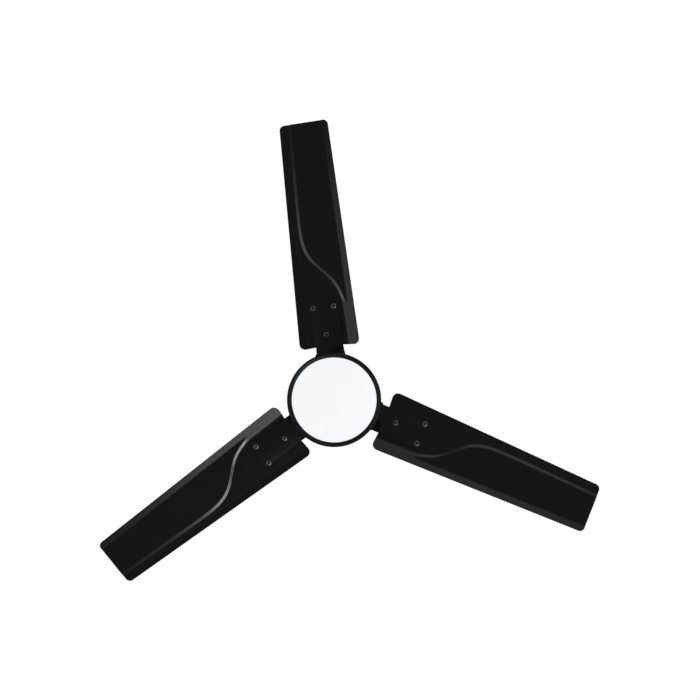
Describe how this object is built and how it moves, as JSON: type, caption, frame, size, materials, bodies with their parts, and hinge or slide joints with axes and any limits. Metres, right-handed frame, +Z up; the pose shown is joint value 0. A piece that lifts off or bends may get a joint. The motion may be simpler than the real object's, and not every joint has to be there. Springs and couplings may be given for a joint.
{
  "type": "ceiling fan with light",
  "caption": "Ceiling fan on a downrod, with pressed sheet-metal blades on flat brackets and a flat round light under the motor.",
  "frame": {"origin": "middle of the ceiling bracket's flat top, where it meets the ceiling", "axes": "+Z up into the ceiling along the fan's turning axis; the hanger bolt lies along X and one blade points to -Y"},
  "size_m": [1.0735, 0.9327, 0.4407],
  "materials": {
    "blade_paint": "satin black",
    "body_paint": "satin black",
    "black_plastic": "satin black",
    "zinc": "zinc plated",
    "zinc_screws": "zinc plated",
    "steel": "ground",
    "magnet": "matte",
    "rubber": "matte",
    "lead_jacket": "matte",
    "white_plastic": "matte",
    "lamination": "matte",
    "copper": "enamelled wire",
    "green_board": "solder mask",
    "aluminium": "satin",
    "white_board": "matte",
    "opal": "opal satin"
  },
  "bodies": {
    "ceiling_side": {"ceiling_bracket": "zinc", "hanger_bolt": "zinc", "hanger_nut": "zinc"},
    "drop": {"hanger_bush": "rubber", "downrod": "body_paint", "coupler": "zinc", "coupler_bolt": "zinc", "coupler_nut": "zinc", "inner_lead": "lead_jacket", "connector_block": "white_plastic", "motor_shaft": "steel", "stator_core": "lamination", "stator_winding": "copper", "controller_board": "green_board", "upper_bearing_inner_race": "steel", "lower_bearing_inner_race": "steel", "light_housing": "black_plastic", "light_housing_nut": "zinc", "light_carrier": "aluminium", "led_board": "white_board", "led_driver": "white_plastic", "light_diffuser": "opal", "light_bezel": "black_plastic", "bezel_screw_1": "zinc", "bezel_screw_2": "zinc", "bezel_screw_3": "zinc"},
    "upper_canopy": {"upper_canopy": "body_paint", "upper_canopy_screw": "zinc"},
    "lower_canopy": {"lower_canopy": "body_paint", "lower_canopy_screw": "zinc"},
    "rotor": {"motor_top_cover": "body_paint", "motor_bottom_cover": "body_paint", "magnet_ring": "magnet", "upper_bearing_outer_race": "steel", "lower_bearing_outer_race": "steel", "upper_bearing_balls": "steel", "lower_bearing_balls": "steel", "blade_bracket_1": "blade_paint", "blade_1": "blade_paint", "blade_1_screw_1": "zinc_screws", "blade_1_screw_2": "zinc_screws", "blade_1_screw_3": "zinc_screws", "bracket_1_screw_1": "zinc_screws", "bracket_1_screw_2": "zinc_screws", "blade_bracket_2": "blade_paint", "blade_2": "blade_paint", "blade_2_screw_1": "zinc_screws", "blade_2_screw_2": "zinc_screws", "blade_2_screw_3": "zinc_screws", "bracket_2_screw_1": "zinc_screws", "bracket_2_screw_2": "zinc_screws", "blade_bracket_3": "blade_paint", "blade_3": "blade_paint", "blade_3_screw_1": "zinc_screws", "blade_3_screw_2": "zinc_screws", "blade_3_screw_3": "zinc_screws", "bracket_3_screw_1": "zinc_screws", "bracket_3_screw_2": "zinc_screws"}
  },
  "joints": [
    {"name": "swing", "type": "hinge", "parent": "ceiling_side", "child": "drop", "pos_m": [0, 0, -0.034], "axis": [1, 0, 0], "range_deg": [-4, 4]},
    {"name": "spin", "type": "hinge", "parent": "drop", "child": "rotor", "pos_m": [0, 0, -0.35], "axis": [0, 0, 1], "continuous": true},
    {"name": "upper_canopy_slide", "type": "slide", "parent": "drop", "child": "upper_canopy", "axis": [0, 0, -1], "range_m": [0, 0.06]},
    {"name": "lower_canopy_slide", "type": "slide", "parent": "drop", "child": "lower_canopy", "axis": [0, 0, 1], "range_m": [0, 0.05]}
  ]
}
